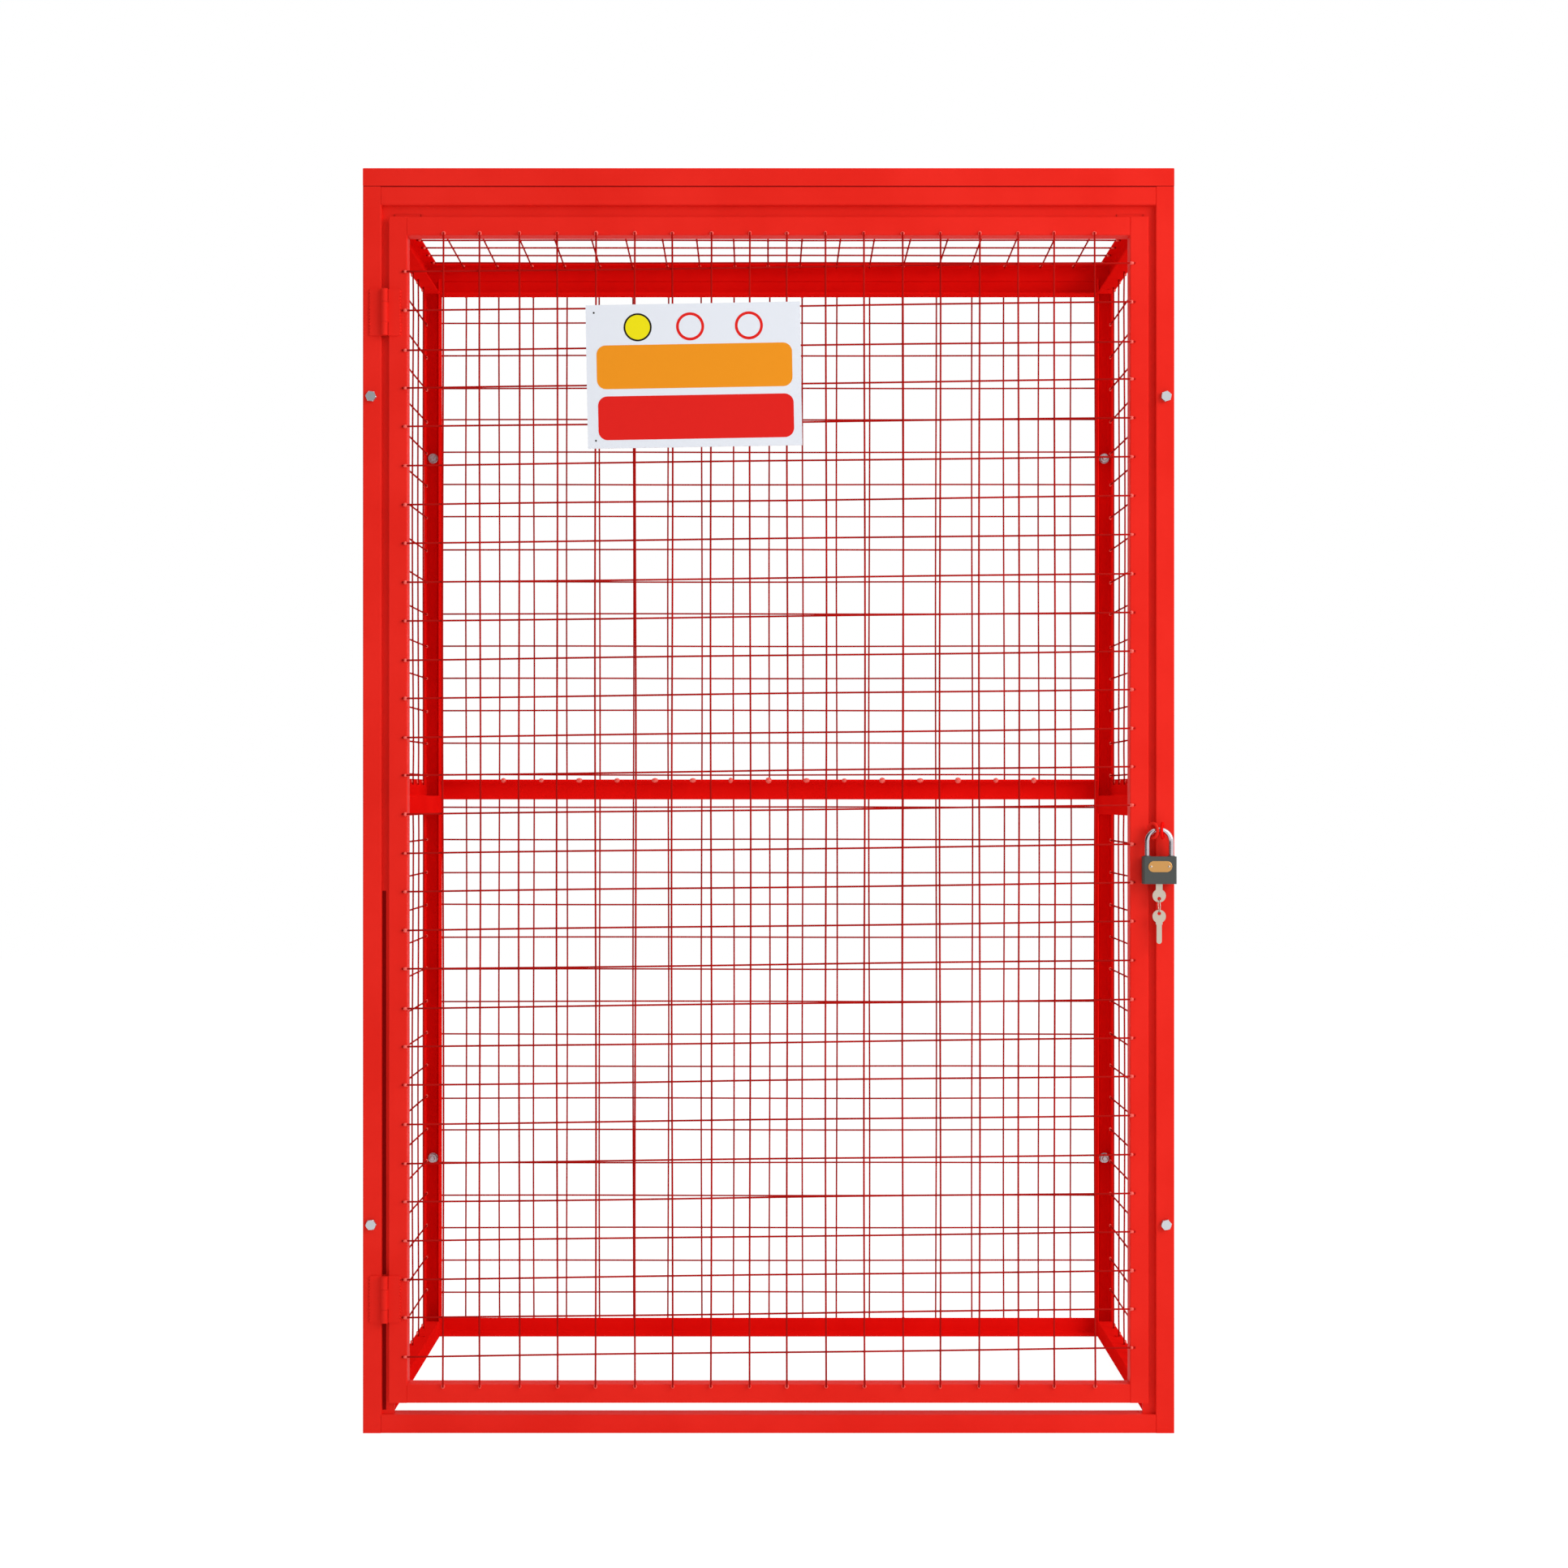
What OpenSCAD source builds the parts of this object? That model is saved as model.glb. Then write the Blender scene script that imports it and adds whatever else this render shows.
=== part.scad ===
// Flat-pack steel cage for gas cylinders: bolted panels of angle iron and welded wire mesh,
// an open floor, and one mesh door on two butt hinges, held by a padlock through two eyes.
// X runs along the front, Y from the front to the back, Z up from the ground.

/* [Cage] */
// Width over the front posts
cage_w = 1100; // [900:10:1400]
// Depth from the front face to the back face
cage_d = 600; // [450:10:900]
// Height from the ground to the top of the roof
cage_h = 1715; // [1500:5:2000]

/* [Steel angle] */
// Width of each leg of the angle iron
angle_w = 25; // [20:1:35]
// Thickness of the angle iron
angle_t = 3; // [2.5:0.5:4]
// Height of the middle rails
mid_rail_w = 32; // [26:1:40]
// Height of the top edge of the middle rails above the ground
mid_rail_top = 890; // [700:10:1100]

/* [Wire mesh] */
// Distance between the wires
mesh_pitch = 52; // [40:1:75]
// Distance between the upright wires of the back and of the roof
back_pitch = 54; // [40:1:75]
// Diameter of the wire
wire_d = 2.5; // [2:0.5:4]
// Length of wire that overlaps the angle iron at each end
wire_lap = 7; // [6:1:14]
// Rise of the door's level wires from the hinges to the lock, in degrees
door_mesh_rise = 0.7; // [0:0.1:1]

/* [Door] */
// Gap between the door and each front post
door_side_gap = 10; // [8:1:14]
// Gap between the door and the rails above and below it
door_end_gap = 16; // [14:1:24]
// Width of the flat strips that the door closes against
stop_w = 17; // [17:1:18]
// Distance of these strips behind the closed door
stop_gap = 5; // [5:0.5:8]
// Width of the sign
sign_w = 290; // [200:5:360]
// Height of the sign
sign_h = 194; // [120:2:240]
// Thickness of the sign
sign_t = 2; // [1:0.5:3]
// Distance of the sign's centre from the middle of the cage
sign_x = -101; // [-200:1:200]
// Distance of the sign's centre below the top of the cage
sign_drop = 282; // [200:2:400]
// Rise of the sign's right end, in degrees
sign_turn = 1; // [-3:0.5:3]

/* [Roof] */
// Width of the level legs of the roof's side rails
roof_side_w = 20; // [18:1:25]
// Diameter of the holes in the side panels' top rails
top_hole_d = 9; // [7:0.5:11]
// Distance of these holes from the front and back faces
top_hole_in = 63; // [45:1:120]

/* [Hinges] */
// Length of each hinge
hinge_l = 63; // [50:1:80]
// Diameter of the hinge barrel
barrel_d = 9; // [8:0.5:9.5]
// Diameter of the hinge pin
pin_d = 5; // [4:0.5:5.5]
// Width of each hinge leaf from the middle of the barrel
leaf_w = 20; // [18:1:22]
// Thickness of each hinge leaf
leaf_t = 2; // [1.5:0.5:2.5]
// Distance from the top of the cage to the middle of the upper hinge
upper_hinge_drop = 196; // [120:2:300]
// Height of the middle of the lower hinge above the ground
lower_hinge_z = 182; // [120:2:300]

/* [Padlock] */
// Height of the two lock eyes above the ground
eye_z = 817; // [700:1:1000]
// Outer diameter of each eye
eye_d = 24; // [22:1:26]
// Diameter of the rod that the eyes are bent from
eye_rod_d = 4; // [3.5:0.5:4]
// Turn of the door's eye away from the front-to-back direction
door_eye_turn = 30; // [20:1:34]
// Turn of the post's eye away from the front-to-back direction
post_eye_turn = 15; // [10:1:20]
// Distance of the eyes' centres in front of the door
eye_reach = 14; // [14:0.5:18]
// Distance of the door's eye from the middle of the padlock
door_eye_off = 8.5; // [8.5:0.5:9]
// Distance of the post's eye from the middle of the padlock
post_eye_off = 4.5; // [4.5:0.5:5]
// Width of the padlock body
lock_w = 45; // [38:1:50]
// Height of the padlock body
lock_h = 37; // [30:1:46]
// Thickness of the padlock body
lock_t = 18; // [14:1:18]
// Diameter of the shackle rod
shackle_d = 6.5; // [6:0.5:7]
// Width over the shackle's legs
shackle_w = 39; // [34:1:42]
// Length of the shackle's straight legs above the body
shackle_leg = 20; // [14:1:30]
// Diameter of the plug that the key turns
plug_d = 11; // [9:0.5:13]
// Thickness of the keys
key_t = 2; // [1.6:0.1:2.4]
// Diameter of the round bow of each key
key_bow_d = 18; // [15:0.5:22]
// Width of the blade of each key
key_blade_w = 7; // [6:0.5:8]
// Length of the blade of each key
key_blade_l = 26; // [20:1:34]

/* [Floor fixing] */
// Diameter of the fixing holes in the bottom rails
floor_hole_d = 9; // [7:0.5:11]
// Distance of the fixing holes from the front and back faces
floor_hole_in = 133; // [60:1:180]

/* [Hidden] */

eps = 0.01;
paint_red = "#e8241c";
wire_red = "#c83a40";
lock_grey = "#4c504c";

// Outer faces of the cage
half_w = cage_w / 2;
front_y = -cage_d / 2;
back_y = cage_d / 2;
roof_z = cage_h;
header_top = roof_z - angle_w;

// Rounding of the angle iron, as rolled: root fillet, toe and outer edges
root_r = angle_t;
toe_r = angle_t / 2;
edge_break = angle_t / 3;
arc_steps = 3;

// A leg that nests behind another panel's angle iron stops short of its root fillet
nest_w = angle_w - angle_t - root_r;

// Door opening and door
opening_half_w = half_w - angle_w;
opening_bottom = angle_w;
opening_top = header_top - angle_w;
door_half_w = opening_half_w - door_side_gap;
door_bottom = opening_bottom + door_end_gap;
door_top = opening_top - door_end_gap;
door_inner_half_w = door_half_w - angle_w;
stop_y = front_y + angle_t + stop_gap;

// Side panels: the rails fill the depth between the uprights
side_rail_end = back_y - angle_t - angle_w;
side_web_z = mid_rail_top - mid_rail_w + angle_t;
back_split_z = mid_rail_top - mid_rail_w / 2;

// Wire mesh
wire_sides = 6;
wire_r = wire_d / 2 / cos(180 / wire_sides);
// Share of a wire's diameter that is not sunk into the wire that it crosses
crossing_share = 0.85;
layer_step = wire_d * crossing_share;
mesh_t = wire_d + layer_step;
// Distances of the outermost wires from the inner edges of their frames, across and up
door_margin = [49, 44];
side_margin = [48, 50];
back_margin = [38, 41];
roof_margin = [38, 20];
door_rows = wire_places(door_bottom + angle_w, door_top - angle_w, door_margin[1], mesh_pitch);
door_columns = wire_places(-door_inner_half_w, door_inner_half_w, door_margin[0], mesh_pitch);
side_rows = wire_places(angle_w, opening_top, side_margin[1], mesh_pitch);
side_columns = wire_places(-side_rail_end, side_rail_end, side_margin[0], back_pitch);
back_rows = wire_places(angle_w, opening_top, back_margin[1], mesh_pitch);
back_columns = wire_places(-opening_half_w, opening_half_w, back_margin[0], back_pitch);
roof_rows = wire_places(front_y + angle_w, back_y - angle_w, roof_margin[1], mesh_pitch);
// The two halves of the door's mesh meet midway between two level wires
door_half_row = floor(len(door_rows) / 2);
door_split_z = (door_rows[door_half_row] + door_rows[door_half_row + 1]) / 2;

// Running clearances
fit_gap = 0.05;
knuckle_gap = 0.3;

// Hinges: the axis stands in the middle of the gap beside the door
hinge_x = -(opening_half_w - door_side_gap / 2);
barrel_r = barrel_d / 2;
hinge_y = front_y - barrel_r;
mid_knuckle = hinge_l * 3 / 7;
upper_hinge_z = roof_z - upper_hinge_drop;
// The inner edge of the hinge stile's backward leg swings on this radius
stile_swing_r = norm([-hinge_x - door_inner_half_w, barrel_r + angle_w]);
notch_half_w = -hinge_x - stile_swing_r - stop_gap;

// Lock eyes
eye_rod_r = eye_rod_d / 2;
eye_ring_r = eye_d / 2 - eye_rod_r;
eye_y = front_y - eye_reach;
lock_x = half_w - lock_w / 2 - 0.5;

// Shackle: it hangs on the lower inside of an eye, with a small clearance.
// For each point of an eye's centre line, the shackle's arc may come no closer than clear_r.
shackle_r = shackle_d / 2;
shackle_arc = shackle_w / 2 - shackle_r;
hang_gap = 0.3;
clear_r = shackle_r + eye_rod_r + hang_gap;
function eye_point(a, off, turn) =
    [off + eye_ring_r * sin(a) * sin(turn),
     eye_ring_r * sin(a) * cos(turn),
     eye_z - eye_ring_r * cos(a)];
function lowest_centre_z(p) =
    let (room = shackle_arc - sqrt(pow(clear_r, 2) - pow(p[1], 2)))
    p[2] - sqrt(max(pow(room, 2) - pow(p[0], 2), 0));
function hang_z(off, turn) =
    max([for (a = [-75 : 1 : 75])
            let (p = eye_point(a, off, turn))
            if (abs(p[1]) < clear_r) lowest_centre_z(p)]);
shackle_centre_z = max(hang_z(door_eye_off, door_eye_turn), hang_z(post_eye_off, post_eye_turn));
lock_top = shackle_centre_z - shackle_leg;
lock_bottom = lock_top - lock_h;
shackle_sunk = 12;
lock_edge = 2;
plug_depth = 22;

// Keys: the bow's hole lies towards the ring that joins the two keys
key_neck = 7;
key_neck_w = 9;
key_hole_d = 5;
key_hole_in = 5;
key_bow_z = lock_bottom - key_neck - key_bow_d / 2;
ring_rod_d = 1.4;
ring_hang = 0.15;
link_d = 18;
link_mid_r = (link_d - ring_rod_d) / 2;
hole_to_rod = (key_hole_d - ring_rod_d) / 2 - ring_hang;
upper_hole_z = key_bow_z - key_bow_d / 2 + key_hole_in;
link_z = upper_hole_z - hole_to_rod - link_mid_r;
lower_hole_z = link_z - link_mid_r - hole_to_rod;
spare_bow_z = lower_hole_z - key_bow_d / 2 + key_hole_in;

function arc_points(cx, cy, r, from_a, to_a) =
    [for (i = [0 : arc_steps])
        let (a = from_a + (to_a - from_a) * i / arc_steps)
        [cx + r * cos(a), cy + r * sin(a)]];

// Section of an angle iron with its heel at the origin and legs a along X and b along Y
function angle_section(a, b) = concat(
    [[edge_break, 0], [a - edge_break, 0], [a, edge_break]],
    arc_points(a - toe_r, angle_t - toe_r, toe_r, 0, 90),
    arc_points(angle_t + root_r, angle_t + root_r, root_r, 270, 180),
    arc_points(angle_t - toe_r, b - toe_r, toe_r, 0, 90),
    [[edge_break, b], [0, b - edge_break], [0, edge_break]]);

// Places of wires at equal steps between two edges, a margin away from each
function wire_places(from, to, margin, pitch) =
    let (room = to - from - 2 * margin,
         steps = round(room / pitch))
    [for (i = [0 : steps]) from + margin + i * room / steps];

function below(places, limit) = [for (p = places) if (p < limit) p];

function above(places, limit) = [for (p = places) if (p > limit) p];

// Angle iron along Z, heel at [x, y], legs pointing along the signs [dx, dy]
module upright(at, dir, legs, from_z, to_z) {
    section = [for (p = angle_section(legs[0], legs[1])) [p[0] * dir[0], p[1] * dir[1]]];
    translate([at[0], at[1], from_z])
        linear_extrude(height = to_z - from_z) polygon(section);
}

// Angle iron along X, heel at [y, z], legs pointing along the signs [dy, dz]
module cross_rail(at, dir, legs, from_x, to_x) {
    section = [for (p = angle_section(legs[0], legs[1])) [p[0] * dir[0], p[1] * dir[1]]];
    translate([from_x, at[0], at[1]])
        rotate([90, 0, 90]) linear_extrude(height = to_x - from_x) polygon(section);
}

// Angle iron along Y, heel at [x, z], legs pointing along the signs [dx, dz]
module depth_rail(at, dir, legs, from_y, to_y) {
    section = [for (p = angle_section(legs[0], legs[1])) [p[0] * dir[0], p[1] * dir[1]]];
    translate([at[0], to_y, at[1]])
        rotate([90, 0, 0]) linear_extrude(height = to_y - from_y) polygon(section);
}

// Mesh in the XY plane that lies on Z = 0: wires along X below, wires along Y on top
module mesh(from, to, rows, columns, rise = 0) {
    middle = (from + to) / 2;
    for (y = rows)
        translate([middle[0], y, wire_d / 2])
            rotate([0, 0, rise]) rotate([0, 90, 0]) rotate([0, 0, 30])
                cylinder(h = to[0] - from[0], r = wire_r, center = true, $fn = wire_sides);
    for (x = columns)
        translate([x, middle[1], wire_d / 2 + layer_step])
            rotate([90, 0, 0])
                cylinder(h = to[1] - from[1], r = wire_r, center = true, $fn = wire_sides);
}

// Front frame: two posts, a header and a sill around the door, with strips that stop the door.
// A strip reaches a hair into its backward leg, so that the two are one piece of steel.
module front_post() {
    color(paint_red) {
        upright([opening_half_w, front_y], [1, 1], [angle_w, angle_w], 0, header_top);
        translate([opening_half_w - stop_w, stop_y, opening_bottom])
            cube([stop_w + eps, angle_t, opening_top - opening_bottom]);
    }
}

module front_post_left() mirror([1, 0, 0]) front_post();

module front_post_right() front_post();

// The header's strip is cut away at its ends, where the door's stiles rise behind it
module front_header() {
    stop_half_w = opening_half_w - stop_w;
    end_w = door_end_gap - stop_gap;
    color(paint_red) {
        cross_rail([front_y, opening_top], [1, 1], [angle_w, angle_w],
                   -opening_half_w, opening_half_w);
        translate([-stop_half_w, stop_y, opening_top - end_w])
            cube([2 * stop_half_w, angle_t, end_w + eps]);
        translate([-notch_half_w, stop_y, opening_top - stop_w])
            cube([2 * notch_half_w, angle_t, stop_w - end_w + eps]);
    }
}

module front_sill()
    color(paint_red)
        cross_rail([front_y, angle_w], [1, -1], [angle_w, angle_w],
                   -opening_half_w, opening_half_w);

// Side panels, drawn for the left side: their uprights nest behind the front and back posts
module side_front_upright()
    color(paint_red)
        upright([-half_w, front_y + angle_t], [1, 1], [nest_w, angle_w], 0, header_top);

module side_rear_upright()
    color(paint_red)
        upright([-half_w, back_y - angle_t], [1, -1], [nest_w, angle_w], 0, header_top);

// The level leg lies below and has two bolt holes
module side_top_rail()
    color(paint_red)
        difference() {
            depth_rail([-half_w, opening_top], [1, 1], [angle_w, angle_w],
                       -side_rail_end, side_rail_end);
            for (y = [front_y + top_hole_in, back_y - top_hole_in])
                translate([-(half_w + opening_half_w) / 2, y, opening_top - angle_t])
                    cylinder(h = 3 * angle_t, d = top_hole_d, $fn = 48);
        }

// Two angles, welded back to back into a Z: the upper leg outside, the lower leg inside
module side_mid_rail()
    color(paint_red) {
        depth_rail([-half_w, side_web_z], [1, 1], [angle_w, mid_rail_w - angle_t],
                   -side_rail_end, side_rail_end);
        depth_rail([-opening_half_w, side_web_z + angle_t], [-1, -1],
                   [angle_w, mid_rail_w - angle_t], -side_rail_end, side_rail_end);
    }

// The level leg lies on top and has the two fixing holes
module side_bottom_rail()
    color(paint_red)
        difference() {
            depth_rail([-opening_half_w, angle_w], [-1, -1], [angle_w, angle_w],
                       -side_rail_end, side_rail_end);
            for (y = [front_y + floor_hole_in, back_y - floor_hole_in])
                translate([-(half_w + opening_half_w) / 2, y, angle_w - 2 * angle_t])
                    cylinder(h = 3 * angle_t, d = floor_hole_d, $fn = 48);
        }

// Wire mesh on the inner faces of the uprights, in two fields above and below the middle rail
module side_mesh()
    color(wire_red)
        translate([-half_w + angle_t, 0, 0]) rotate([90, 0, 90]) {
            reach = side_rail_end + wire_lap;
            mesh([-reach, angle_w], [reach, side_web_z],
                 below(side_rows, side_web_z), side_columns);
            mesh([-reach, mid_rail_top - wire_lap], [reach, opening_top],
                 above(side_rows, mid_rail_top), side_columns);
        }

module left_front_upright() side_front_upright();

module left_rear_upright() side_rear_upright();

module left_top_rail() side_top_rail();

module left_mid_rail() side_mid_rail();

module left_bottom_rail() side_bottom_rail();

module left_mesh() side_mesh();

module right_front_upright() mirror([1, 0, 0]) side_front_upright();

module right_rear_upright() mirror([1, 0, 0]) side_rear_upright();

module right_top_rail() mirror([1, 0, 0]) side_top_rail();

module right_mid_rail() mirror([1, 0, 0]) side_mid_rail();

module right_bottom_rail() mirror([1, 0, 0]) side_bottom_rail();

module right_mesh() mirror([1, 0, 0]) side_mesh();

// Back panel: frame of angle iron with the mesh on its outer face
module back_right_upright()
    color(paint_red)
        upright([opening_half_w, back_y], [1, -1], [angle_w, angle_w], 0, header_top);

module back_left_upright() mirror([1, 0, 0]) back_right_upright();

module back_rail(heel_z, up, height)
    color(paint_red)
        cross_rail([back_y, heel_z], [-1, up], [angle_w, height],
                   -opening_half_w, opening_half_w);

module back_top_rail() back_rail(opening_top, 1, angle_w);

module back_mid_rail() back_rail(mid_rail_top, -1, mid_rail_w);

module back_bottom_rail() back_rail(0, 1, angle_w);

module back_mesh(from_z, to_z, rows) {
    reach = opening_half_w + wire_lap;
    color(wire_red)
        mirror([0, 1, 0]) translate([0, -back_y, 0]) rotate([90, 0, 0])
            mesh([-reach, from_z], [reach, to_z], rows, back_columns);
}

module back_mesh_upper()
    back_mesh(back_split_z, opening_top + wire_lap, above(back_rows, back_split_z));

module back_mesh_lower()
    back_mesh(angle_w - wire_lap, back_split_z, below(back_rows, back_split_z));

// Roof panel: a mitred frame with its level legs on top, and the mesh under them.
// A mitre runs from the outer corner to the inner one, by the widths of the end rails and of
// the rail that it cuts.
module mitre(half_l, half_s, end_w, own_w)
    translate([0, 0, header_top - angle_w])
        linear_extrude(height = 3 * angle_w)
            polygon([[-half_l, -half_s], [half_l, -half_s],
                     [half_l - 2 * end_w, -half_s + 2 * own_w],
                     [-half_l + 2 * end_w, -half_s + 2 * own_w]]);

module roof_front_rail()
    color(paint_red)
        intersection() {
            cross_rail([front_y, roof_z], [1, -1], [angle_w, angle_w], -half_w, half_w);
            mitre(half_w, back_y, roof_side_w, angle_w);
        }

module roof_rear_rail() mirror([0, 1, 0]) roof_front_rail();

module roof_side_rail()
    color(paint_red)
        intersection() {
            depth_rail([half_w, roof_z], [-1, -1], [roof_side_w, angle_w], front_y, back_y);
            rotate([0, 0, 90]) mitre(back_y, half_w, angle_w, roof_side_w);
        }

module roof_left_rail() mirror([1, 0, 0]) roof_side_rail();

module roof_right_rail() roof_side_rail();

module roof_mesh() {
    reach_x = half_w - roof_side_w + wire_lap;
    reach_y = back_y - angle_w + wire_lap;
    color(wire_red)
        translate([0, 0, roof_z - angle_t]) mirror([0, 0, 1])
            mesh([-reach_x, -reach_y], [reach_x, reach_y], roof_rows, back_columns);
}

// Butt hinges: the post's leaf carries two knuckles and the pin, the door's leaf the middle one
module hinge_plate(side)
    translate([side > 0 ? 0 : -leaf_w, barrel_r - leaf_t, -hinge_l / 2])
        cube([leaf_w, leaf_t, hinge_l]);

// Room around another leaf's knuckle, between two heights
module knuckle_room(from_z, to_z)
    translate([-barrel_r - knuckle_gap, -barrel_d, from_z])
        cube([barrel_d + 2 * knuckle_gap, 2 * barrel_d, to_z - from_z]);

module hinge_post_leaf(z)
    color(paint_red)
        translate([hinge_x, hinge_y, z]) {
            gap_end = mid_knuckle / 2 + knuckle_gap;
            difference() {
                hinge_plate(-1);
                knuckle_room(-gap_end, gap_end);
            }
            for (start = [gap_end, -hinge_l / 2])
                translate([0, 0, start])
                    cylinder(h = hinge_l / 2 - gap_end, r = barrel_r, $fn = 48);
            cylinder(h = hinge_l, d = pin_d, center = true, $fn = 48);
        }

module hinge_door_leaf(z)
    color(paint_red)
        translate([hinge_x, hinge_y, z])
            difference() {
                union() {
                    difference() {
                        hinge_plate(1);
                        knuckle_room(mid_knuckle / 2, hinge_l);
                        knuckle_room(-hinge_l, -mid_knuckle / 2);
                    }
                    cylinder(h = mid_knuckle, r = barrel_r, center = true, $fn = 48);
                }
                cylinder(h = hinge_l, d = pin_d + 2 * fit_gap, center = true, $fn = 48);
            }

module upper_hinge_post_leaf() hinge_post_leaf(upper_hinge_z);

module lower_hinge_post_leaf() hinge_post_leaf(lower_hinge_z);

module upper_hinge_door_leaf() hinge_door_leaf(upper_hinge_z);

module lower_hinge_door_leaf() hinge_door_leaf(lower_hinge_z);

// Lock eye to the right of the shackle's middle: a bent rod ring with a shank back to the steel
module lock_eye(off, turn)
    color(paint_red)
        translate([off, 0, 0]) {
            rotate([0, 0, -turn]) rotate([0, 90, 0])
                rotate_extrude($fn = 48) translate([eye_ring_r, 0]) circle(r = eye_rod_r, $fn = 24);
            translate([eye_ring_r * sin(turn), eye_ring_r * cos(turn), 0])
                rotate([-90, 0, 0])
                    cylinder(h = eye_reach - eye_ring_r * cos(turn), r = eye_rod_r, $fn = 24);
        }

module post_lock_eye() translate([lock_x, eye_y, eye_z]) lock_eye(post_eye_off, post_eye_turn);

module door_lock_eye()
    translate([lock_x, eye_y, eye_z]) mirror([1, 0, 0]) lock_eye(door_eye_off, door_eye_turn);

// Door: a frame of angle iron with its backward legs at the inner edge, and the mesh in front
module door_lock_stile()
    color(paint_red)
        upright([door_inner_half_w, front_y], [1, 1], [angle_w, angle_w], door_bottom, door_top);

module door_hinge_stile() mirror([1, 0, 0]) door_lock_stile();

module door_top_rail()
    color(paint_red)
        cross_rail([front_y, door_top - angle_w], [1, 1], [angle_w, angle_w],
                   -door_inner_half_w, door_inner_half_w);

module door_bottom_rail()
    color(paint_red)
        cross_rail([front_y, door_bottom + angle_w], [1, -1], [angle_w, angle_w],
                   -door_inner_half_w, door_inner_half_w);

module door_mesh(from_z, to_z, rows) {
    reach = door_inner_half_w + wire_lap;
    color(wire_red)
        translate([0, front_y, 0]) rotate([90, 0, 0])
            mesh([-reach, from_z], [reach, to_z], rows, door_columns, door_mesh_rise);
}

module door_mesh_upper()
    door_mesh(door_split_z, door_top - angle_w + wire_lap, above(door_rows, door_split_z));

module door_mesh_lower()
    door_mesh(door_bottom + angle_w - wire_lap, door_split_z, below(door_rows, door_split_z));

module sign_plate()
    color("white")
        translate([sign_x, front_y - mesh_t - sign_t / 2, roof_z - sign_drop])
            rotate([0, -sign_turn, 0]) cube([sign_w, sign_t, sign_h], center = true);

// Padlock: a body with bores for the shackle's legs and for the plug
module padlock_body() {
    corner_x = lock_w / 2 - lock_edge;
    corner_y = lock_t / 2 - lock_edge;
    outline = concat(arc_points(corner_x, corner_y, lock_edge, 0, 90),
                     arc_points(-corner_x, corner_y, lock_edge, 90, 180),
                     arc_points(-corner_x, -corner_y, lock_edge, 180, 270),
                     arc_points(corner_x, -corner_y, lock_edge, 270, 360));
    color(lock_grey)
        translate([lock_x, eye_y, 0])
            difference() {
                translate([0, 0, lock_bottom]) linear_extrude(height = lock_h) polygon(outline);
                for (side = [-1, 1])
                    translate([side * shackle_arc, 0, lock_top - shackle_sunk - fit_gap])
                        cylinder(h = 2 * shackle_sunk, r = shackle_r + fit_gap, $fn = 48);
                translate([0, 0, lock_bottom - plug_depth])
                    cylinder(h = 2 * plug_depth + fit_gap, d = plug_d + 2 * fit_gap, $fn = 48);
            }
}

module padlock_shackle() {
    leg_l = shackle_leg + shackle_sunk;
    color("silver")
        translate([lock_x, eye_y, shackle_centre_z]) {
            rotate([90, 0, 0])
                rotate_extrude(angle = 180, $fn = 64)
                    translate([shackle_arc, 0]) circle(r = shackle_r, $fn = 32);
            for (side = [-1, 1])
                translate([side * shackle_arc, 0, -leg_l])
                    cylinder(h = leg_l, r = shackle_r, $fn = 32);
        }
}

module key_bow(bow_z, hole_z)
    difference() {
        translate([0, key_t / 2, bow_z]) rotate([90, 0, 0])
            cylinder(h = key_t, d = key_bow_d, $fn = 48);
        translate([0, key_t, hole_z]) rotate([90, 0, 0])
            cylinder(h = 2 * key_t, d = key_hole_d, $fn = 32);
    }

// The key in the lock is one piece with the plug that it turns
module key_in_lock()
    color("silver")
        translate([lock_x, eye_y, 0]) {
            translate([0, 0, lock_bottom]) cylinder(h = plug_depth, d = plug_d, $fn = 48);
            translate([-key_neck_w / 2, -key_t / 2, lock_bottom - key_neck - key_t])
                cube([key_neck_w, key_t, key_neck + 2 * key_t]);
            key_bow(key_bow_z, upper_hole_z);
        }

module key_ring()
    color("silver")
        translate([lock_x, eye_y, link_z]) rotate([0, 90, 0])
            rotate_extrude($fn = 48) translate([link_mid_r, 0]) circle(d = ring_rod_d, $fn = 16);

module spare_key() {
    shoulder_z = spare_bow_z - key_bow_d / 2 - key_t;
    color("silver")
        translate([lock_x, eye_y, 0]) {
            key_bow(spare_bow_z, lower_hole_z);
            translate([-key_neck_w / 2, -key_t / 2, shoulder_z])
                cube([key_neck_w, key_t, 3 * key_t]);
            translate([-key_blade_w / 2, -key_t / 2, shoulder_z - key_blade_l + key_blade_w / 2])
                cube([key_blade_w, key_t, key_blade_l]);
            translate([0, key_t / 2, shoulder_z - key_blade_l + key_blade_w / 2])
                rotate([90, 0, 0]) cylinder(h = key_t, d = key_blade_w, $fn = 32);
        }
}

front_post_left();
front_post_right();
front_header();
front_sill();
left_front_upright();
left_rear_upright();
left_top_rail();
left_mid_rail();
left_bottom_rail();
left_mesh();
right_front_upright();
right_rear_upright();
right_top_rail();
right_mid_rail();
right_bottom_rail();
right_mesh();
back_left_upright();
back_right_upright();
back_top_rail();
back_mid_rail();
back_bottom_rail();
back_mesh_upper();
back_mesh_lower();
roof_front_rail();
roof_rear_rail();
roof_left_rail();
roof_right_rail();
roof_mesh();
upper_hinge_post_leaf();
lower_hinge_post_leaf();
post_lock_eye();
door_hinge_stile();
door_lock_stile();
door_top_rail();
door_bottom_rail();
door_mesh_upper();
door_mesh_lower();
upper_hinge_door_leaf();
lower_hinge_door_leaf();
door_lock_eye();
sign_plate();
padlock_body();
padlock_shackle();
key_in_lock();
key_ring();
spare_key();
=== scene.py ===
import math

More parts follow.
